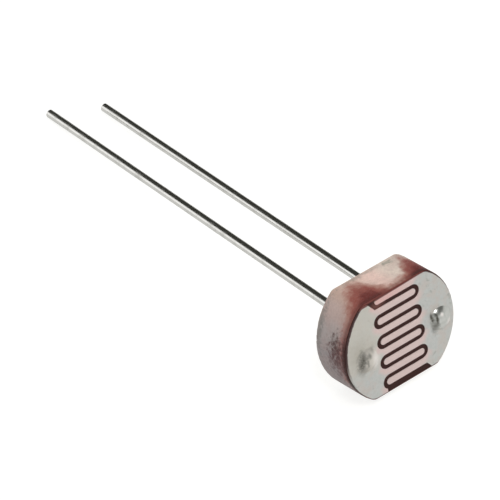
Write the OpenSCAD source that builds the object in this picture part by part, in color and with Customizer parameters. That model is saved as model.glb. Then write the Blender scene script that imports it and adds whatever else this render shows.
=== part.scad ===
// Photoresistor: a flat-sided ceramic disc with a light-sensitive film,
// two interlocking comb electrodes, two cement dots and two formed wire leads.
// Pieces are drawn in the disc's own frame: front face at y = 0, leads towards +Y,
// the two flats level. at_rest() then lays the part down on its rear edge and a lead tip.

/* [Ceramic base] */
// Diameter over the two round sides
base_d = 7.5; // [7.2:0.1:10]
// Height across the two flats
base_flats = 6.1; // [5.7:0.1:6.6]
// Thickness of the disc
base_t = 2.35; // [1.6:0.05:3.5]
// Radius of the corners between the round sides and the flats
corner_r = 1; // [0.6:0.1:1.2]
// Radius of the rounded edges of both faces
base_edge_r = 0.06; // [0.04:0.01:0.08]

/* [Film] */
// Thickness of the light-sensitive film
film_t = 0.03; // [0.02:0.01:0.06]

/* [Electrodes] */
// Thickness of the metal layer
electrode_t = 0.03; // [0.02:0.01:0.06]
// Bare border between the disc's round sides and the metal
round_border = 0.07; // [0.06:0.01:0.1]
// Bare border between the disc's flats and the metal
flat_border = 0.13; // [0.06:0.01:0.2]
// Fingers of the left comb
left_fingers = 4; // [3:1:5]
// Fingers of the right comb
right_fingers = 5; // [4:1:6]
// Width of one finger
finger_w = 0.39; // [0.3:0.01:0.45]
// Width of the bare line between the combs
gap_w = 0.25; // [0.15:0.01:0.3]
// Distance from the middle of the comb to the centre of each fingertip
finger_half = 1.15; // [0.8:0.05:1.2]
// Slope of the pad's edge beside the open end of the bare line, in degrees
open_end_slope = 52; // [40:1:70]
// How far that slope starts outside the line of the turns
open_end_foot = 0.24; // [0.1:0.01:0.3]
// Angle of its last turn at which a comb's pad runs straight out to the flat
last_turn = 150; // [120:5:180]
// Sideways shift of the combs from the disc's middle
pattern_shift = 0.06; // [0:0.01:0.1]
// Drop of the combs below the disc's middle
pattern_drop = 0.12; // [0:0.01:0.2]

/* [Leads] */
// Diameter of the tinned wire
wire_d = 0.5; // [0.4:0.01:0.6]
// Gap all round the wire in its hole
hole_clearance = 0.05; // [0.02:0.01:0.1]
// Distance between the two holes
hole_pitch = 5.08; // [4.9:0.02:5.2]
// Sideways shift of the holes from the disc's middle
hole_shift = 0.22; // [0:0.01:0.25]
// Drop of the holes below the disc's middle
hole_drop = 0.37; // [0:0.01:0.4]
// Distance between the formed leads, at the back face
lead_pitch = 2.66; // [2:0.02:3.2]
// Rise of the formed left lead above the disc's middle, at the back face
left_rise = 0.69; // [0.4:0.01:1]
// Rise of the formed right lead above the disc's middle, at the back face
right_rise = 0.61; // [0.4:0.01:1]
// Sideways swing of the formed leads, in degrees
lead_swing = 1.7; // [0:0.1:3]
// Upward climb of the formed leads, in degrees
lead_climb = 3; // [0:0.1:5]
// First bend's corner, behind the back face
first_bend = 0.7; // [0.7:0.05:1.5]
// Distance along the axis from the first bend's corner to the second's
bend_run = 0.8; // [0.8:0.05:1.5]
// Bend radius at the middle of the wire
bend_r = 0.7; // [0.6:0.05:0.8]
// How much bending thins the wire, on the radius
bend_thinning = 0.006; // [0.004:0.001:0.01]
// Reach of the left lead behind the back face
left_reach = 28.3; // [15:0.1:35]
// Reach of the right lead behind the back face
right_reach = 26.5; // [15:0.1:35]
// Chamfer of the cut wire ends
tip_chamfer = 0.06; // [0.02:0.01:0.1]

/* [Contact dots] */
// Diameter of a cement dot on the electrode
dot_d = 1.4; // [1:0.05:1.4]
// Height of a cement dot
dot_h = 0.35; // [0.25:0.01:0.5]
// How far the wire's head stands into the dot
head_proud = 0.15; // [0.05:0.01:0.2]

/* [Hidden] */
$fn = 96;
// Straight steps in each arc of the combs and corners
arc_steps = 16;
// Angle by which each bend runs on inside the straight wire at its ends
bend_lap = 3;
// How far a cutting shape runs past what it cuts
overshoot = 1;
// How far the arc of a corner starts and ends outside the sides that it joins
corner_lap = 0.005;
left = -1;
right = 1;

// Layers stacked on the front face, counted from the ceramic
film_front = -film_t;
electrode_front = film_front - electrode_t;
hole_d = wire_d + 2 * hole_clearance;
dot_sphere_r = (pow(dot_d / 2, 2) + pow(dot_h, 2)) / (2 * dot_h);

// Middle height of a finger's row, counted downwards; the left comb has the even rows
row_pitch = finger_w + gap_w;
function row_z(row) = (left_fingers - 0.5 - row) * row_pitch;

// Points of an arc that starts at its circle's top and bulges to one side
function arc(centre, r, side, sweep) =
    [for (i = [0 : arc_steps]) let (a = 90 - sweep * i / arc_steps)
        centre + r * [side * cos(a), sin(a)]];

// Place of a lead hole on the face
function hole_at(side) = [hole_shift + side * hole_pitch / 2, -hole_drop];

// Route of a lead: its head, its two bend corners and its tip
lead_run = [tan(lead_swing), 1, tan(lead_climb)];
function on_run(side, rise, back) =
    [side * lead_pitch / 2, base_t, rise] + back * lead_run;
function lead_route(side, rise, reach) = [
    [hole_at(side)[0], electrode_front - head_proud, hole_at(side)[1]],
    [hole_at(side)[0], base_t + first_bend, hole_at(side)[1]],
    on_run(side, rise, first_bend + bend_run),
    on_run(side, rise, reach)];
left_route = lead_route(left, left_rise, left_reach);
right_route = lead_route(right, right_rise, right_reach);

function unit(v) = v / norm(v);
// Angles that turn the X and Z axes onto two given directions at right angles
function angles_onto(x, z) = let (y = cross(z, x))
    [atan2(y[2], z[2]), -asin(x[2]), atan2(x[1], x[0])];
// Direction of the wire after corner i of a route, and how sharply it turns there
function heading(route, i) = unit(route[i + 1] - route[i]);
function turn_at(route, i) = acos(heading(route, i - 1) * heading(route, i));
// Length of wire that the bend takes up on each side of corner i; none at the ends
function bend_in(route, i) =
    i == 0 || i == len(route) - 1 ? 0 : bend_r * tan(turn_at(route, i) / 2);

// Lean at which a lead's tip and the disc's rounded lower rear edge touch the ground together
edge_y = base_t - base_edge_r;
edge_z = base_edge_r - base_flats / 2;
function lean_on(route) = let (
        run = heading(route, 2),
        low = route[3] - tip_chamfer * run + wire_d / 2 * unit([0, run[2], -run[1]]),
        away = low[1] - edge_y,
        above = low[2] - edge_z)
    atan2(above, away) + asin(base_edge_r / norm([away, above]));
rest_lean = min(lean_on(left_route), lean_on(right_route));

// Place of a point along the ground and above it, once the part leans
function ground_y(y, z) = y * cos(rest_lean) + z * sin(rest_lean);
function ground_z(y, z) = z * cos(rest_lean) - y * sin(rest_lean);
tip_r = wire_d / 2 - tip_chamfer;
function tip_y(route) =
    ground_y(route[3][1], route[3][2]) + tip_r * sin(abs(rest_lean - lead_climb));
front_y = min(
    ground_y(electrode_front, flat_border - base_flats / 2),
    ground_y(film_front, edge_z),
    ground_y(base_edge_r, edge_z) - base_edge_r,
    ground_y(electrode_front - dot_h + dot_sphere_r, hole_at(left)[1]) - dot_sphere_r);
back_y = max(tip_y(left_route), tip_y(right_route));
rest_move = [0, -(front_y + back_y) / 2, base_edge_r - ground_z(edge_y, edge_z)];

// Lays a piece of the upright disc down in its resting place
module at_rest() {
    translate(rest_move) rotate([-rest_lean, 0, 0]) children();
}

// Raises an outline drawn on the face into a layer that starts at y and grows forwards
module layer(y, thickness) {
    translate([0, y, 0]) rotate([90, 0, 0]) linear_extrude(thickness) children();
}

// What is cut off the four corners of an outline to round them, from the outline's radius and half height
module corner_cuts(radius, half, r) {
    far = [radius, half] + corner_lap * [1, 1];
    centre = [sqrt(pow(far[0] - r, 2) - pow(far[1] - r, 2)), far[1] - r];
    sweep = 90 - atan2(centre[1], centre[0]);
    for (x = [0, 1], z = [0, 1]) mirror([x, 0]) mirror([0, z])
        polygon(concat(arc(centre, r, right, sweep), [far]));
}

// Outline of the disc, drawn in from its round sides and from its flats
module disc_outline(from_round, from_flats) {
    radius = base_d / 2 - from_round;
    half = base_flats / 2 - from_flats;
    difference() {
        intersection() {
            circle(radius);
            square([base_d, 2 * half], center = true);
        }
        corner_cuts(radius, half, corner_r - from_flats);
    }
}

module lead_holes() {
    for (side = [left, right])
        translate(hole_at(side)) circle(d = hole_d);
}

// Section of the disc from its axis outwards: a rectangle whose far corners are rounded
module rounded_section(reach) {
    square([reach - base_edge_r, base_t]);
    translate([0, base_edge_r]) square([reach, base_t - 2 * base_edge_r]);
    for (y = [base_edge_r, base_t - base_edge_r])
        translate([reach - base_edge_r, y]) circle(r = base_edge_r);
}

// One comb with its pad on the left: half circles round its own fingertips and round
// the fingertips of the other comb, joined by the straight finger sides
module comb(fingers) {
    top = row_z(0) + finger_w / 2;
    foot = [-finger_half - open_end_foot, top];
    slope_end = foot + base_d * [-cos(open_end_slope), sin(open_end_slope)];
    edge = [for (k = [0 : fingers - 1]) let (sweep = k < fingers - 1 ? 180 : last_turn) each concat(
        arc([finger_half, row_z(2 * k)], finger_w / 2, right, 180),
        arc([-finger_half, row_z(2 * k + 1)], finger_w / 2 + gap_w, left, sweep))];
    run_out = [edge[len(edge) - 1][0], -base_d];
    polygon(concat([[-base_d, slope_end[1]], slope_end, foot], edge, [run_out, [-base_d, -base_d]]));
}

// A comb in its place on the face, cut to the disc and pierced for the wires
module electrode_outline(fingers, half_turns) {
    difference() {
        intersection() {
            disc_outline(round_border, flat_border);
            translate([pattern_shift, -pattern_drop]) rotate(180 * half_turns) comb(fingers);
        }
        lead_holes();
    }
}

module ceramic_base() {
    color("rosybrown") at_rest() difference() {
        intersection() {
            rotate([-90, 0, 0]) rotate_extrude() rounded_section(base_d / 2);
            for (flip = [0, 1]) mirror([0, 0, flip]) rotate([90, 0, 90])
                linear_extrude(base_d + overshoot, center = true)
                    rotate(90) mirror([0, 1]) rounded_section(base_flats / 2);
        }
        layer(base_t + overshoot, base_t + 2 * overshoot) {
            lead_holes();
            corner_cuts(base_d / 2, base_flats / 2, corner_r);
        }
    }
}

module photoconductive_film() {
    color("maroon") at_rest() layer(0, film_t) difference() {
        disc_outline(base_edge_r, base_edge_r);
        lead_holes();
    }
}

module left_electrode() {
    color("silver") at_rest() layer(film_front, electrode_t) electrode_outline(left_fingers, 0);
}

module right_electrode() {
    color("silver") at_rest() layer(film_front, electrode_t) electrode_outline(right_fingers, 1);
}

// Stands children, drawn along +Z, at a point along a direction
module along(start, run) {
    translate(start) rotate(angles_onto(unit(cross([0, 0, 1], run)), run)) children();
}

// A wire along a route: straight lengths, a slightly thinner ring segment in each bend
// that runs on inside them, and a last length with a chamfered tip
module lead(route) {
    last = len(route) - 1;
    for (i = [0 : last - 2]) {
        run = heading(route, i);
        start = route[i] + bend_in(route, i) * run;
        along(start, run) cylinder(h = norm(route[i + 1] - start) - bend_in(route, i + 1), d = wire_d);
    }
    for (i = [1 : last - 1]) {
        before = heading(route, i - 1);
        after = heading(route, i);
        inward = unit(after - (after * before) * before);
        centre = route[i] - bend_in(route, i) * before + bend_r * inward;
        translate(centre) rotate(angles_onto(-inward, cross(before, inward))) rotate(-bend_lap)
            rotate_extrude(angle = turn_at(route, i) + 2 * bend_lap)
                translate([bend_r, 0]) circle(r = wire_d / 2 - bend_thinning);
    }
    run = heading(route, last - 1);
    start = route[last - 1] + bend_in(route, last - 1) * run;
    end = norm(route[last] - start);
    along(start, run) rotate_extrude() polygon([[0, 0], [wire_d / 2, 0],
        [wire_d / 2, end - tip_chamfer], [tip_r, end], [0, end]]);
}

module left_lead() {
    color("gainsboro") at_rest() lead(left_route);
}

module right_lead() {
    color("gainsboro") at_rest() lead(right_route);
}

// A low dome of cement on the electrode, round the head of a wire
module contact_dot(side) {
    translate([hole_at(side)[0], electrode_front, hole_at(side)[1]]) rotate([90, 0, 0]) difference() {
        translate([0, 0, dot_h - dot_sphere_r]) sphere(r = dot_sphere_r);
        translate([0, 0, -2 * dot_sphere_r]) cylinder(h = 2 * dot_sphere_r, r = 2 * dot_sphere_r);
        translate([0, 0, -overshoot]) cylinder(h = head_proud + overshoot, d = wire_d);
    }
}

module left_contact_dot() {
    color("darkgray") at_rest() contact_dot(left);
}

module right_contact_dot() {
    color("darkgray") at_rest() contact_dot(right);
}

ceramic_base();
photoconductive_film();
left_electrode();
right_electrode();
left_lead();
right_lead();
left_contact_dot();
right_contact_dot();
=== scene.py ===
import math

import bmesh
import bpy
from mathutils import Matrix, Vector, noise


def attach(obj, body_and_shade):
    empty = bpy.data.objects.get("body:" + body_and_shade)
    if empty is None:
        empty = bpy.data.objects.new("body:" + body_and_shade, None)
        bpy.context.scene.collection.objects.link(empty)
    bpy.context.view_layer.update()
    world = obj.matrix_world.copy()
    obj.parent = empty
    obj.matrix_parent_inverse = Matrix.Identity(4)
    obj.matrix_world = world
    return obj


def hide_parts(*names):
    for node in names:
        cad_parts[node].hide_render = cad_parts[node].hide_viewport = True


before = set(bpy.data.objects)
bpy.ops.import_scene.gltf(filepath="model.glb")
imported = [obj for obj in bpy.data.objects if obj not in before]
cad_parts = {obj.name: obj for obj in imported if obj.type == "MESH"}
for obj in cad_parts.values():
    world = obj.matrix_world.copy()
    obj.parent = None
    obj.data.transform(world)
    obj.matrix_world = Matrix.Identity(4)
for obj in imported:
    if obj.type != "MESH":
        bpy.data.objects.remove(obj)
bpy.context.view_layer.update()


# Camera
# The photograph's view: a long lens from the front left and above, with a slight roll.
# Its lengths and the part's are written in millimetres, and MM makes them metres.
scene = bpy.context.scene
MM = 0.001
view_aim = Vector((-0.6229, -3.1688, 2.0)) * MM
view_azimuth = math.radians(-36.864)
view_elevation = math.radians(40.8822)
view_roll = math.radians(-3.1765)
view_distance = 218.3288 * MM

camera = bpy.data.objects.new("camera", bpy.data.cameras.new("camera"))
scene.collection.objects.link(camera)
scene.camera = camera
camera.data.lens = 288.0
camera.data.sensor_width = 36.0
camera.data.clip_start = 1.0 * MM
towards_camera = Vector((
    math.sin(view_azimuth) * math.cos(view_elevation),
    -math.cos(view_azimuth) * math.cos(view_elevation),
    math.sin(view_elevation)))
camera.matrix_world = (
    Matrix.Translation(view_aim + towards_camera * view_distance)
    @ towards_camera.to_track_quat("Z", "Y").to_matrix().to_4x4()
    @ Matrix.Rotation(view_roll, 4, "Z"))
scene.view_settings.view_transform = "Standard"


# Ceramic base
# A pressed and fired ceramic disc with two flats and two wire holes. It stays as the solid
# has it. The film's red liquor ran over its edge before firing and stained the sides unevenly.
base_t = 2.35
disc_lean = math.radians(-9.95855)
disc_move = Vector((0, -15.0115, 3.40097)) * MM


def screen(red, green, blue):
    """A colour given in screen values of 0 to 255, as a shader takes it."""
    return tuple(((c / 255 + 0.055) / 1.055) ** 2.4 for c in (red, green, blue)) + (1.0,)


def place(tree, kind, sockets, **settings):
    """Puts a shader node into a tree; each socket takes a value or another node's output."""
    made = tree.nodes.new("ShaderNode" + kind)
    for name, value in settings.items():
        setattr(made, name, value)
    for name, value in sockets.items():
        if isinstance(value, bpy.types.NodeSocket):
            tree.links.new(value, made.inputs[name])
        else:
            made.inputs[name].default_value = value
    return made


def reckon(tree, operation, first, second=0.0, third=0.0):
    return place(tree, "Math", {0: first, 1: second, 2: third}, operation=operation).outputs[0]


def fade(tree, value, start, end):
    """A soft mask that goes from 0 at start to 1 at end."""
    return place(tree, "MapRange", {"Value": value, "From Min": start, "From Max": end},
                 interpolation_type="SMOOTHSTEP").outputs[0]


def tint(tree, amount, under, over, blend="MIX"):
    return place(tree, "Mix", {0: amount, 6: under, 7: over},
                 data_type="RGBA", blend_type=blend).outputs[2]


def cloud(tree, at, scale, detail=4.0, roughness=0.55, distortion=0.0):
    return place(tree, "TexNoise", {"Vector": at, "Scale": scale, "Detail": detail,
                                    "Roughness": roughness, "Distortion": distortion}).outputs[0]


def ramp(tree, value, stops):
    """A colour that follows a row of (place, colour) stops smoothly."""
    made = place(tree, "ValToRGB", {0: value})
    made.color_ramp.interpolation = "EASE"
    marks = made.color_ramp.elements
    for mark, (at, colour) in zip([marks[0], marks[1]], [stops[0], stops[-1]]):
        mark.position = at
        mark.color = colour
    for at, colour in stops[1:-1]:
        marks.new(at).color = colour
    return made.outputs[0]


def level(tree, value, stops):
    """A plain value that follows a row of (place, value) stops smoothly."""
    return ramp(tree, value, [(at, (height, height, height, 1)) for at, height in stops])


def finish_named(name):
    """A new material with an empty tree and its shader, ready for nodes."""
    material = bpy.data.materials.new(name)
    material.use_nodes = True
    tree = material.node_tree
    tree.nodes.clear()
    shader = place(tree, "BsdfPrincipled", {})
    place(tree, "OutputMaterial", {"Surface": shader.outputs[0]})
    return material, tree, shader


def on_disc(tree):
    """Millimetres in the disc's own frame: x right, y from the face to the back, z up."""
    here = place(tree, "TexCoord", {}).outputs["Object"]
    return place(tree, "Mapping", {"Vector": here, "Location": disc_move, "Scale": (MM, MM, MM),
                                   "Rotation": (disc_lean, 0, 0)}, vector_type="TEXTURE").outputs[0]


# Sintered grain, as the ceramic, the film and the metal over them all show it
grain_group = bpy.data.node_groups.new("sintered_grain", "ShaderNodeTree")
for name, kind, way in (("Place", "NodeSocketVector", "INPUT"),
                        ("Grains", "NodeSocketFloat", "INPUT"),
                        ("Speckle", "NodeSocketFloat", "OUTPUT"),
                        ("Height", "NodeSocketFloat", "OUTPUT")):
    grain_group.interface.new_socket(name, in_out=way, socket_type=kind)
given = grain_group.nodes.new("NodeGroupInput").outputs
wanted = grain_group.nodes.new("NodeGroupOutput").inputs
pits_per_grain = 2.2
coarse = cloud(grain_group, given["Place"], given["Grains"], detail=3.0, roughness=0.6)
pit_scale = reckon(grain_group, "MULTIPLY", given["Grains"], pits_per_grain)
pits = place(grain_group, "TexVoronoi", {"Vector": given["Place"], "Scale": pit_scale})
grain_group.links.new(fade(grain_group, coarse, 0.3, 0.7), wanted["Speckle"])
grain_group.links.new(reckon(grain_group, "ADD", coarse, pits.outputs["Distance"]), wanted["Height"])


def grain(tree, at, grains_per_mm):
    made = place(tree, "Group", {}, node_tree=grain_group)
    tree.links.new(at, made.inputs["Place"])
    made.inputs["Grains"].default_value = grains_per_mm
    return made.outputs["Speckle"], made.outputs["Height"]


def blot(tree, right, up, middle, half, wobble, end=1.7):
    """A soft ragged spot in two directions: 1 in its middle, 0 from end half sizes outwards."""
    across = reckon(tree, "DIVIDE", reckon(tree, "SUBTRACT", right, middle[0]), half[0])
    upward = reckon(tree, "DIVIDE", reckon(tree, "SUBTRACT", up, middle[1]), half[1])
    away = reckon(tree, "MULTIPLY_ADD", across, across, reckon(tree, "MULTIPLY", upward, upward))
    return fade(tree, reckon(tree, "ADD", reckon(tree, "SQRT", away), wobble), end, 0.0)


def relief(tree, height, strength, depth_mm):
    return place(tree, "Bump", {"Height": height, "Strength": strength,
                                "Distance": depth_mm * MM}).outputs[0]


ceramic, tree, shader = finish_named("stained_ceramic")
at = on_disc(tree)
axes = place(tree, "SeparateXYZ", {0: at}).outputs
depth = axes["Y"]
# Place round the disc from 0 to 1: from the left side down round the bottom, up the right
# and back over the top
turn = reckon(tree, "MULTIPLY_ADD", reckon(tree, "ARCTAN2", axes["Z"], axes["X"]), 0.5 / math.pi, 0.5)
wander = reckon(tree, "SUBTRACT", cloud(tree, at, 0.9, detail=5.0, roughness=0.6, distortion=0.4), 0.5)
ragged = reckon(tree, "SUBTRACT", cloud(tree, at, 4.0, roughness=0.65), 0.5)
speckle, height = grain(tree, at, grains_per_mm=9.0)

# The bare body is cream on top and a dull mauve grey down the left side, clouded and speckled. Its ramp
# also holds painted light and shade: brightest on the top, darkest at the lower left.
body_and_shade = ramp(tree, turn, [
    (0.0, screen(176, 166, 166)), (0.06, screen(170, 158, 158)), (0.13, screen(152, 138, 139)),
    (0.25, screen(180, 168, 162)), (0.45, screen(206, 194, 182)), (0.62, screen(214, 200, 186)),
    (0.70, screen(244, 226, 211)), (0.75, screen(255, 221, 207)), (0.82, screen(234, 204, 188)),
    (0.85, screen(214, 184, 168)), (0.88, screen(214, 190, 181)), (0.94, screen(190, 179, 176)),
    (1.0, screen(176, 166, 166))])
clouding = fade(tree, cloud(tree, at, 1.6, roughness=0.6), 0.40, 0.65)
body_and_shade = tint(tree, reckon(tree, "MULTIPLY", clouding, 0.24), body_and_shade, screen(190, 158, 150))
body_and_shade = tint(tree, reckon(tree, "MULTIPLY", speckle, 0.16), body_and_shade, screen(140, 130, 126))

# How far back from the face the stain reaches round the disc, and how far its edge strays, in
# millimetres. It soaks in a little at that edge, and more with each millimetre towards the face.
stain_stray = 0.9
soak_at_edge = 0.20
soak_per_mm = 0.42
reach = level(tree, turn, [
    (0.0, 0.35), (0.04, 0.30), (0.08, 0.0), (0.20, 0.0), (0.40, 0.35), (0.55, 0.60), (0.62, 1.70),
    (0.655, 1.90), (0.672, 1.38), (0.69, 0.52), (0.72, 0.25), (0.75, 0.30), (0.775, 0.90),
    (0.80, 1.85), (0.82, 2.05), (0.84, 1.50), (0.86, 0.95), (0.89, 0.55), (0.93, 0.45), (1.0, 0.40)])
run = reckon(tree, "MULTIPLY_ADD", wander, stain_stray, reach)
run = reckon(tree, "MULTIPLY_ADD", ragged, stain_stray, run)
soak = reckon(tree, "MULTIPLY_ADD", reckon(tree, "SUBTRACT", run, depth), soak_per_mm, soak_at_edge)
liquor = ramp(tree, soak, [(0.0, screen(212, 182, 170)), (0.25, screen(186, 138, 124)),
                           (0.50, screen(158, 89, 78)), (0.85, screen(120, 52, 46))])
# On the left side the liquor dried thinner and turned a purple brown
purple = level(tree, turn, [(0.0, 1.0), (0.18, 1.0), (0.30, 0.5), (0.66, 0.4), (0.72, 0.0),
                            (0.86, 0.0), (0.96, 1.0), (1.0, 1.0)])
liquor = tint(tree, purple, liquor, screen(224, 217, 228), "MULTIPLY")
colour = tint(tree, fade(tree, soak, -0.04, 0.34), body_and_shade, liquor)

# Brown mottles on the left side and grey dirt on the back edge, broken up in clumps. A row gives
# the place round the disc and the depth, their half sizes, the strength and the colour. The place
# counts from 0.5 to 1.5 here, so that the left side is not cut in two.
clump_pull = -4.2
clumps = cloud(tree, at, 4.4, roughness=0.66, distortion=0.3)
wobble = reckon(tree, "MULTIPLY", reckon(tree, "SUBTRACT", clumps, 0.5), clump_pull)
from_right = reckon(tree, "WRAP", turn, 1.5, 0.5)
for middle, half, strength, shade in (((0.960, 0.72), (0.025, 0.40), 0.85, screen(82, 55, 47)),
                                      ((0.998, 0.55), (0.036, 0.74), 0.85, screen(96, 58, 57)),
                                      ((1.045, 0.90), (0.030, 0.60), 0.15, screen(110, 86, 86)),
                                      ((0.930, 2.15), (0.060, 0.22), 0.60, screen(124, 122, 116)),
                                      ((0.685, 2.00), (0.014, 0.18), 0.60, screen(132, 138, 122)),
                                      ((0.770, 2.20), (0.060, 0.16), 0.50, screen(140, 138, 124))):
    mask = reckon(tree, "MULTIPLY", blot(tree, from_right, depth, middle, half, wobble), strength)
    colour = tint(tree, mask, colour, shade)
# A nearly black line along the front edge, grey where it runs out at the bottom
rim_w = 0.30
rim_full = 0.06
rim_stray = 0.25
rim_dark = level(tree, turn, [
    (0.0, 1.0), (0.05, 1.0), (0.08, 0.8), (0.105, 0.5), (0.13, 0.1), (0.25, 0.1), (0.45, 0.3),
    (0.58, 0.9), (0.66, 0.8), (0.70, 0.3), (0.77, 0.3), (0.80, 0.4), (0.86, 0.4), (0.92, 0.5),
    (0.96, 1.0), (1.0, 1.0)])
rim_grey = level(tree, turn, [(0.0, 0.0), (0.03, 0.0), (0.065, 1.0), (0.25, 1.0), (0.35, 0.0), (1.0, 0.0)])
rim_shade = tint(tree, rim_grey, screen(74, 40, 35), screen(80, 76, 72))
rim = fade(tree, reckon(tree, "MULTIPLY_ADD", ragged, rim_stray, depth), rim_w, rim_full)
colour = tint(tree, reckon(tree, "MULTIPLY", rim, rim_dark), colour, rim_shade)
# The back face was not painted: it is bare and only a little clouded
back_stray = 0.10
back_clouds = fade(tree, cloud(tree, at, 0.7, detail=5.0, roughness=0.6), 0.35, 0.65)
bare_back = tint(tree, back_clouds, screen(224, 208, 194), screen(206, 186, 174))
bare_back = tint(tree, reckon(tree, "MULTIPLY", speckle, 0.22), bare_back, screen(158, 144, 136))
behind = fade(tree, reckon(tree, "MULTIPLY_ADD", ragged, back_stray, depth), base_t - 0.07, base_t - 0.01)
colour = tint(tree, behind, colour, bare_back)
tree.links.new(colour, shader.inputs["Base Color"])
tree.links.new(fade(tree, speckle, -1.2, 1.6), shader.inputs["Roughness"])
tree.links.new(relief(tree, height, strength=0.5, depth_mm=0.02), shader.inputs["Normal"])
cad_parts["ceramic_base"].data.materials[0] = ceramic


# Photoconductive film
# The light-sensitive layer: a dark red powder painted on the face and sintered there. It stays
# as the solid has it, and shows as the winding line between the combs and as a thin dark rim.
flat_z = 3.05

film, tree, shader = finish_named("sintered_film")
at = on_disc(tree)
speckle, height = grain(tree, at, grains_per_mm=14.0)
colour = tint(tree, speckle, screen(54, 30, 27), screen(72, 44, 40))
axes = place(tree, "SeparateXYZ", {0: at}).outputs
high = axes["Z"]
# It is thinner and redder where the line starts at the upper left and along both flats, and worn
# to a grey edge at the lower left
line_start = blot(tree, axes["X"], high, (-1.15, 2.52), (0.42, 0.26), 0.0)
colour = tint(tree, reckon(tree, "MULTIPLY", line_start, 0.75), colour, screen(132, 88, 82))
worn = reckon(tree, "MULTIPLY", fade(tree, axes["X"], -1.4, -2.0), fade(tree, high, -1.2, -2.0))
colour = tint(tree, worn, colour, screen(150, 148, 144))
colour = tint(tree, fade(tree, high, flat_z - 0.21, flat_z - 0.07), colour, screen(134, 76, 70))
colour = tint(tree, fade(tree, high, 0.13 - flat_z, 0.03 - flat_z), colour, screen(134, 98, 92))
tree.links.new(colour, shader.inputs["Base Color"])
tree.links.new(fade(tree, speckle, -2.0, 2.0), shader.inputs["Roughness"])
tree.links.new(relief(tree, height, strength=0.4, depth_mm=0.01), shader.inputs["Normal"])
shader.inputs["Specular IOR Level"].default_value = 0.2
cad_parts["photoconductive_film"].data.materials[0] = film


# Electrodes
# Two combs of metal evaporated through a mask, so thin that they take on the grain of the film
# under them. They stay as the solids have them. Between the lines the metal is paler and pinkish.
comb_shift = 0.06
comb_drop = 0.12
finger_half = 1.15
turn_r = 0.445
turn_pitch = 1.28
mask_centre = (0.09, -0.05, -0.07)
mask_r = 3.65
dots_middle = (0.22, -0.37)
dots_apart = 2.54

# Painted shade on each contact dot's left flank, a painted shadow below and left of it, and painted
# glints. A row gives the side, the place and half sizes from the dot's middle, across and up, and for the
# painted shade the strength.
painted_shade_colour = screen(98, 96, 88)
painted_glint_colour = screen(255, 249, 243)
dot_shade_group = bpy.data.node_groups.new("dot_painted_shade_and_glint", "ShaderNodeTree")
dot_shade_group.interface.new_socket("Place", in_out="INPUT", socket_type="NodeSocketVector")
dot_shade_group.interface.new_socket("Painted Shade", in_out="OUTPUT", socket_type="NodeSocketFloat")
dot_shade_group.interface.new_socket("Painted Glint", in_out="OUTPUT", socket_type="NodeSocketFloat")
given = dot_shade_group.nodes.new("NodeGroupInput").outputs
wanted = dot_shade_group.nodes.new("NodeGroupOutput").inputs
axes = place(dot_shade_group, "SeparateXYZ", {0: given["Place"]}).outputs
beside = reckon(dot_shade_group, "MULTIPLY_ADD", reckon(dot_shade_group, "SIGN", axes["X"]), -dots_apart,
                reckon(dot_shade_group, "SUBTRACT", axes["X"], dots_middle[0]))
above = reckon(dot_shade_group, "SUBTRACT", axes["Z"], dots_middle[1])
wobble = cloud(dot_shade_group, given["Place"], 5.0, roughness=0.7, distortion=0.4)
wobble = reckon(dot_shade_group, "MULTIPLY_ADD", wobble, 1.4, -0.7)
half_wobble = reckon(dot_shade_group, "MULTIPLY", wobble, 0.5)
on_right = fade(dot_shade_group, axes["X"], -0.2, 0.2)
on_left = reckon(dot_shade_group, "SUBTRACT", 1.0, on_right)
painted_shade = 0.0
for on_side, middle, half, strength in ((on_left, (-0.26, 0.44), (0.17, 0.30), 0.66),
                                        (on_left, (-0.48, 0.14), (0.19, 0.36), 0.66),
                                        (on_left, (0.07, 0.34), (0.12, 0.16), 0.60),
                                        (on_left, (0.36, 0.54), (0.15, 0.17), 0.34),
                                        (on_left, (-0.12, 0.0), (0.07, 0.24), 0.45),
                                        (on_left, (-0.40, -0.30), (0.32, 0.38), 0.50),
                                        (on_right, (-0.61, 0.36), (0.075, 0.24), 1.0),
                                        (on_right, (-0.36, 0.27), (0.075, 0.26), 1.0),
                                        (on_right, (-0.50, -0.22), (0.19, 0.48), 0.76)):
    mask = blot(dot_shade_group, beside, above, middle, half, wobble)
    mask = reckon(dot_shade_group, "MULTIPLY", mask, reckon(dot_shade_group, "MULTIPLY", on_side, strength))
    painted_shade = reckon(dot_shade_group, "ADD", painted_shade, mask)
dot_shade_group.links.new(reckon(dot_shade_group, "MINIMUM", painted_shade, 1.0), wanted["Painted Shade"])
painted_glint = 0.0
for on_side, middle, half in ((on_left, (0.50, -0.14), (0.28, 0.42)),
                              (on_right, (-0.06, 0.36), (0.09, 0.10)),
                              (on_right, (0.35, -0.30), (0.16, 0.22))):
    mask = blot(dot_shade_group, beside, above, middle, half, half_wobble)
    painted_glint = reckon(dot_shade_group, "MAXIMUM", painted_glint, reckon(dot_shade_group, "MULTIPLY", mask, on_side))
dot_shade_group.links.new(painted_glint, wanted["Painted Glint"])


def dot_shade_and_glint(tree, at):
    made = place(tree, "Group", {}, node_tree=dot_shade_group)
    tree.links.new(at, made.inputs["Place"])
    return made.outputs["Painted Shade"], made.outputs["Painted Glint"]


evaporated, tree, shader = finish_named("evaporated_metal")
at = on_disc(tree)
axes = place(tree, "SeparateXYZ", {0: at}).outputs
along = reckon(tree, "SUBTRACT", axes["X"], comb_shift)
patchy = cloud(tree, at, 2.4, roughness=0.6, distortion=0.5)
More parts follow.
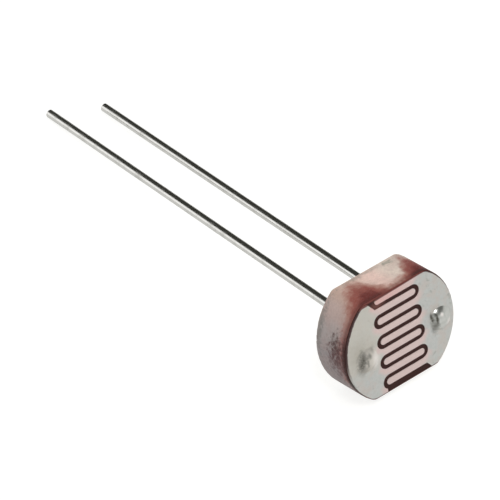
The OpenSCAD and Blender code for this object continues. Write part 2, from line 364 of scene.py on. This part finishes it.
# The pink stops where the winding line turns: at every second row on the left, and at the others
# on the right
row_turn = 2 * math.pi / turn_pitch
rows = reckon(tree, "MULTIPLY_ADD", axes["Z"], row_turn, row_turn * comb_drop)
bulge = reckon(tree, "MULTIPLY", reckon(tree, "COSINE", rows), reckon(tree, "SIGN", along))
outwards = reckon(tree, "MULTIPLY_ADD", bulge, turn_r / 2, reckon(tree, "ABSOLUTE", along))
outwards = reckon(tree, "MULTIPLY_ADD", patchy, -0.6, outwards)
fingers = fade(tree, outwards, finger_half + 0.30, finger_half - 0.25)
speckle, height = grain(tree, at, grains_per_mm=7.0)
metal = tint(tree, speckle, screen(220, 222, 218), screen(232, 233, 230))
clouding = fade(tree, cloud(tree, at, 1.3, roughness=0.6), 0.42, 0.64)
metal = tint(tree, clouding, metal, screen(228, 223, 217))
metal = tint(tree, fade(tree, patchy, 0.58, 0.74), metal, screen(198, 200, 193))
# The left pad is warmer above its dot and dull yellowish round it
warm = reckon(tree, "MULTIPLY", fade(tree, along, -0.6, -1.8), fade(tree, axes["Z"], -1.7, -0.1))
metal = tint(tree, reckon(tree, "MULTIPLY", warm, 0.75), metal, screen(233, 229, 219))
wobble = reckon(tree, "MULTIPLY_ADD", patchy, 1.6, -0.8)
dingy = blot(tree, axes["X"], axes["Z"], (-2.75, 0.15), (0.8, 1.0), wobble)
metal = tint(tree, reckon(tree, "MULTIPLY", dingy, 0.50), metal, screen(200, 194, 180))
# Painted shade and a painted shadow round each dot, and painted glints, carried onto the metal beside it
painted_shade, painted_glint = dot_shade_and_glint(tree, at)
metal = tint(tree, painted_shade, metal, painted_shade_colour)
metal = tint(tree, painted_glint, metal, painted_glint_colour)
# The top finger is a stronger pink towards the left
blush = reckon(tree, "MULTIPLY", fade(tree, axes["X"], 1.6, -0.6), fade(tree, axes["Z"], 2.2, 2.6))
finger_pink = tint(tree, blush, screen(238, 215, 210), screen(244, 201, 195))
colour = tint(tree, fingers, metal, finger_pink)
# The mask sat a little low and to the right, so the film is left bare at the upper left and
# along the upper flat
off_mask = place(tree, "VectorMath", {0: at, 1: mask_centre}, operation="DISTANCE").outputs["Value"]
off_mask = reckon(tree, "MULTIPLY_ADD", patchy, 0.12, off_mask)
bare = fade(tree, off_mask, mask_r + 0.02, mask_r + 0.10)
bare = reckon(tree, "MULTIPLY", bare, fade(tree, axes["Z"], -1.6, 0.2))
colour = tint(tree, bare, colour, screen(66, 35, 32))
mask_top = reckon(tree, "MULTIPLY_ADD", axes["X"], -0.03, axes["Z"])
bare_top = fade(tree, mask_top, flat_z - 0.22, flat_z - 0.15)
colour = tint(tree, bare_top, colour, screen(124, 74, 68))
bare = reckon(tree, "MAXIMUM", bare, bare_top)
tree.links.new(colour, shader.inputs["Base Color"])
tree.links.new(fade(tree, speckle, -3.2, 4.0), shader.inputs["Roughness"])
tree.links.new(relief(tree, height, strength=0.25, depth_mm=0.006), shader.inputs["Normal"])
shine = reckon(tree, "MULTIPLY_ADD", fingers, -0.6, 0.9)
for not_metal in (painted_glint, bare):
    shine = reckon(tree, "MULTIPLY", shine, reckon(tree, "SUBTRACT", 1.0, not_metal))
tree.links.new(shine, shader.inputs["Metallic"])
for name in ("left_electrode", "right_electrode"):
    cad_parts[name].data.materials[0] = evaporated


# Leads
# Drawn wire, dipped in tin, put through the holes and formed behind the disc in two bends to a
# closer pitch. Each is one round tube that follows its solid's route and has a cut, chamfered end.
wire_r = 0.25
bend_r = 0.7
tip_chamfer = 0.06
wire_sides = 32
bend_steps = 10
draw_line_w = 0.08
draw_line_l = 4.0
disc_place = Matrix.Translation(disc_move) @ Matrix.Rotation(disc_lean, 4, "X") @ Matrix.Scale(MM, 4)
lead_routes = {
    "left_lead": [(-2.32, -0.21, -0.37), (-2.32, 3.05, -0.37),
                  (-1.28548, 3.85, 0.76861), (-0.49008, 30.65, 2.17314)],
    "right_lead": [(2.76, -0.21, -0.37), (2.76, 3.05, -0.37),
                   (1.37452, 3.85, 0.68861), (2.1165, 28.85, 1.99881)],
}


def piece_from(bm, name, material, sharp_deg=35, weld=0.0005):
    """Moves a mesh drawn on the disc to its place, and makes it a smooth shaded piece."""
    bmesh.ops.remove_doubles(bm, verts=bm.verts, dist=weld)
    bmesh.ops.recalc_face_normals(bm, faces=bm.faces)
    bmesh.ops.transform(bm, matrix=disc_place, verts=bm.verts)
    mesh = bpy.data.meshes.new(name)
    bm.to_mesh(mesh)
    bm.free()
    mesh.shade_smooth()
    mesh.set_sharp_from_angle(angle=math.radians(sharp_deg))
    mesh.materials.append(material)
    made = bpy.data.objects.new(name, mesh)
    scene.collection.objects.link(made)
    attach(made, "root")
    return made


def draw_on(bm, ring, move, shrink=1.0):
    """Draws the wire's open end on by a straight move, and narrows it there."""
    grown = bmesh.ops.extrude_edge_only(bm, edges=ring)["geom"]
    verts = [v for v in grown if isinstance(v, bmesh.types.BMVert)]
    bmesh.ops.translate(bm, verts=verts, vec=move)
    centre = sum((v.co for v in verts), Vector()) / len(verts)
    bmesh.ops.scale(bm, verts=verts, vec=(shrink, shrink, shrink), space=Matrix.Translation(-centre))
    return [e for e in grown if isinstance(e, bmesh.types.BMEdge)
            and e.verts[0] in verts and e.verts[1] in verts]


tinned, tree, shader = finish_named("tinned_wire")
here = place(tree, "TexCoord", {}).outputs["Object"]
# Fine lines along the wires' straight ends, left by drawing the wire, and duller patches in the tin
bend_end, tip = [Vector(p) for p in lead_routes["left_lead"][2:]]
lead_heading = Matrix.Rotation(disc_lean, 3, "X") @ (tip - bend_end).normalized()
drawn = place(tree, "Mapping", {
    "Vector": here, "Rotation": lead_heading.to_track_quat("Y", "Z").to_euler(),
    "Scale": (MM * draw_line_w, MM * draw_line_l, MM * draw_line_w)}, vector_type="TEXTURE").outputs[0]
draw_lines = cloud(tree, drawn, 1.0, detail=3.0, roughness=0.6)
spots = place(tree, "Mapping", {"Vector": here, "Scale": (MM, MM, MM)}, vector_type="TEXTURE").outputs[0]
dull = fade(tree, cloud(tree, spots, 1.3, roughness=0.6), 0.45, 0.75)
colour = tint(tree, dull, screen(240, 239, 235), screen(218, 217, 212))
tree.links.new(colour, shader.inputs["Base Color"])
rough = place(tree, "MapRange", {"Value": dull, "To Min": 0.16, "To Max": 0.30}).outputs[0]
tree.links.new(rough, shader.inputs["Roughness"])
tree.links.new(relief(tree, draw_lines, strength=0.04, depth_mm=0.004), shader.inputs["Normal"])
shader.inputs["Metallic"].default_value = 1.0

for node_name, route in lead_routes.items():
    stops = [Vector(p) for p in route]
    bm = bmesh.new()
    bmesh.ops.create_circle(bm, cap_ends=True, segments=wire_sides, radius=wire_r,
                            matrix=Matrix.Translation(stops[0]) @ Matrix.Rotation(math.pi / 2, 4, "X"))
    ring = bm.edges[:]
    at_now = stops[0]
    for i in (1, 2):
        before = (stops[i] - stops[i - 1]).normalized()
        after = (stops[i + 1] - stops[i]).normalized()
        bend = before.angle(after)
        taken = bend_r * math.tan(bend / 2)
        ring = draw_on(bm, ring, stops[i] - before * taken - at_now)
        inward = (after - before * after.dot(before)).normalized()
        bent = bmesh.ops.spin(bm, geom=ring, angle=bend, steps=bend_steps, axis=before.cross(inward),
                              cent=stops[i] - before * taken + inward * bend_r)["geom_last"]
        ring = [e for e in bent if isinstance(e, bmesh.types.BMEdge)]
        at_now = stops[i] + after * taken
    ring = draw_on(bm, ring, stops[3] - after * tip_chamfer - at_now)
    ring = draw_on(bm, ring, after * tip_chamfer, (wire_r - tip_chamfer) / wire_r)
    bmesh.ops.contextual_create(bm, geom=ring)
    wire = piece_from(bm, node_name + "_wire", tinned)
    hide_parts(node_name)


# Contact dots
# A drop of silver cement over each wire's head joins it to its comb. It set as a low, slightly lumpy cap,
# the left one flatter. Painted shade on its left flank, a painted shadow below it and painted glints are
# laid into its colour.
dot_r = 0.7
dot_base_y = -0.06
cap_sides = 96
cement_shine = 0.9
lumps_per_mm = 2.6
lump_h = 0.012

cement, tree, shader = finish_named("set_cement")
at = on_disc(tree)
axes = place(tree, "SeparateXYZ", {0: at}).outputs
speckle, height = grain(tree, at, grains_per_mm=5.0)
colour = tint(tree, speckle, screen(216, 218, 212), screen(230, 231, 226))
# The left drop set duller and more yellowish than the right one
colour = tint(tree, fade(tree, axes["X"], 1.0, -1.0), colour, screen(236, 231, 222))
# Painted shade on the drop's left flank, a painted shadow below it and painted glints, where the metal is
# also taken out
painted_shade, painted_glint = dot_shade_and_glint(tree, at)
colour = tint(tree, painted_shade, colour, painted_shade_colour)
colour = tint(tree, painted_glint, colour, painted_glint_colour)
tree.links.new(colour, shader.inputs["Base Color"])
rough = place(tree, "MapRange", {"Value": axes["X"], "From Min": -2.0, "From Max": 2.0,
                                 "To Min": 0.50, "To Max": 0.28}).outputs[0]
tree.links.new(rough, shader.inputs["Roughness"])
tree.links.new(relief(tree, height, strength=0.10, depth_mm=0.006), shader.inputs["Normal"])
tree.links.new(reckon(tree, "MULTIPLY_ADD", painted_glint, -cement_shine, cement_shine), shader.inputs["Metallic"])

for node_name, lead_name, drop_h in (("left_contact_dot", "left_lead", 0.26),
                                     ("right_contact_dot", "right_lead", 0.34)):
    head = Vector(lead_routes[lead_name][0])
    cap_r = (dot_r ** 2 + drop_h ** 2) / (2 * drop_h)
    bm = bmesh.new()
    bmesh.ops.create_uvsphere(bm, u_segments=cap_sides, v_segments=cap_sides, radius=dot_r)
    bmesh.ops.bisect_plane(bm, geom=bm.verts[:] + bm.edges[:] + bm.faces[:], dist=1e-6,
                           plane_co=(0, 0, 0), plane_no=(0, 0, 1), clear_inner=True)
    bmesh.ops.holes_fill(bm, edges=[e for e in bm.edges if e.is_boundary])
    for v in bm.verts:
        outwards = min(v.co.xy.length, dot_r)
        heap = math.sqrt(cap_r ** 2 - outwards ** 2) - (cap_r - drop_h)
        lump = noise.noise(Vector((v.co.x + head.x, v.co.y, 0.0)) * lumps_per_mm) * lump_h
        v.co.z = heap + lump * heap / drop_h
    bmesh.ops.transform(bm, verts=bm.verts, matrix=Matrix.Translation((head.x, dot_base_y, head.z))
                        @ Matrix.Rotation(math.pi / 2, 4, "X"))
    dome = piece_from(bm, node_name + "_drop", cement)
    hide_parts(node_name)


# Floor, surroundings and lamps
# A plain white table, which keeps the part's own soft shadow, in a white room. Metal sees the table
# and the front wall dimmer, and a dark ceiling and corner that give the wires their dark lines.
# Lengths in this section are in metres.
floor_half = 0.6
table_white = (0.85, 0.85, 0.84, 1)
backdrop_white = (1.0, 1.0, 0.985, 1)
shadow_lift = 0.62
table_glow = 0.83
table_glow_in_metal = 0.40
bm = bmesh.new()
bmesh.ops.create_grid(bm, x_segments=1, y_segments=1, size=floor_half)
floor_mesh = bpy.data.meshes.new("floor")
bm.to_mesh(floor_mesh)
bm.free()
floor = bpy.data.objects.new("floor", floor_mesh)
scene.collection.objects.link(floor)


def seen_directly(tree):
    """1 for what the camera, a shiny surface or a clear one sees, 0 for light on dull surfaces."""
    ray = place(tree, "LightPath", {}).outputs
    either = reckon(tree, "MAXIMUM", ray["Is Camera Ray"], ray["Is Glossy Ray"])
    return reckon(tree, "MAXIMUM", either, ray["Is Transmission Ray"]), ray


table = bpy.data.materials.new("white_table")
table.use_nodes = True
tree = table.node_tree
tree.nodes.clear()
seen, ray = seen_directly(tree)
dull_white = place(tree, "BsdfDiffuse", {"Color": table_white})
faint = place(tree, "MixShader", {0: shadow_lift, 1: dull_white.outputs[0]})
glow = reckon(tree, "MULTIPLY_ADD", ray["Is Glossy Ray"], table_glow_in_metal - table_glow, table_glow)
lit_white = place(tree, "Emission", {"Color": backdrop_white, "Strength": glow})
bright = place(tree, "AddShader", {0: faint.outputs[0], 1: lit_white.outputs[0]})
both = place(tree, "MixShader", {0: seen, 1: dull_white.outputs[0], 2: bright.outputs[0]})
place(tree, "OutputMaterial", {"Surface": both.outputs[0]})
floor_mesh.materials.append(table)

front_wall = (0.62, 0.62, 0.61, 1)
back_wall = (1.0, 1.0, 1.0, 1)
room_dark = (0.035, 0.035, 0.03, 1)
fill_light = (0.42, 0.42, 0.42, 1)
dark_corner = Vector((0.70, 0.66, 0.26)).normalized()
world = bpy.data.worlds.new("white_room")
scene.world = world
world.use_nodes = True
tree = world.node_tree
tree.nodes.clear()
seen, ray = seen_directly(tree)
facing = place(tree, "TexCoord", {}).outputs["Generated"]
axes = place(tree, "SeparateXYZ", {0: facing}).outputs
wall = tint(tree, fade(tree, axes["Y"], -0.1, 0.5), front_wall, back_wall)
ceiling = fade(tree, axes["Z"], 0.44, 0.54)
corner = place(tree, "VectorMath", {0: facing, 1: dark_corner}, operation="DOT_PRODUCT").outputs["Value"]
shade = reckon(tree, "MAXIMUM", ceiling, fade(tree, corner, 0.70, 0.86))
room = tint(tree, shade, wall, room_dark)
shiny = tint(tree, ray["Is Camera Ray"], room, backdrop_white)
light = tint(tree, seen, fill_light, shiny)
place(tree, "OutputWorld", {"Surface": place(tree, "Background", {"Color": light}).outputs[0]})

disc_middle = Vector((0, -0.014, 0.003))
for name, way, distance, size, watts, mirrored in (
        ("key", (-0.20, -0.41, 0.89), 0.25, 0.065, 0.15, True),
        ("side", (0.60, -0.30, 0.74), 0.30, 0.55, 0.34, False),
        ("back", (0.25, 0.95, 0.18), 0.30, 0.34, 0.20, False)):
    lamp = bpy.data.objects.new(name, bpy.data.lights.new(name, "AREA"))
    lamp.data.shape = "DISK"
    lamp.data.size = size
    lamp.data.energy = watts
    lamp.visible_glossy = mirrored
    lit_from = Vector(way).normalized()
    lamp.location = disc_middle + lit_from * distance
    lamp.rotation_euler = lit_from.to_track_quat("Z", "Y").to_euler()
    scene.collection.objects.link(lamp)
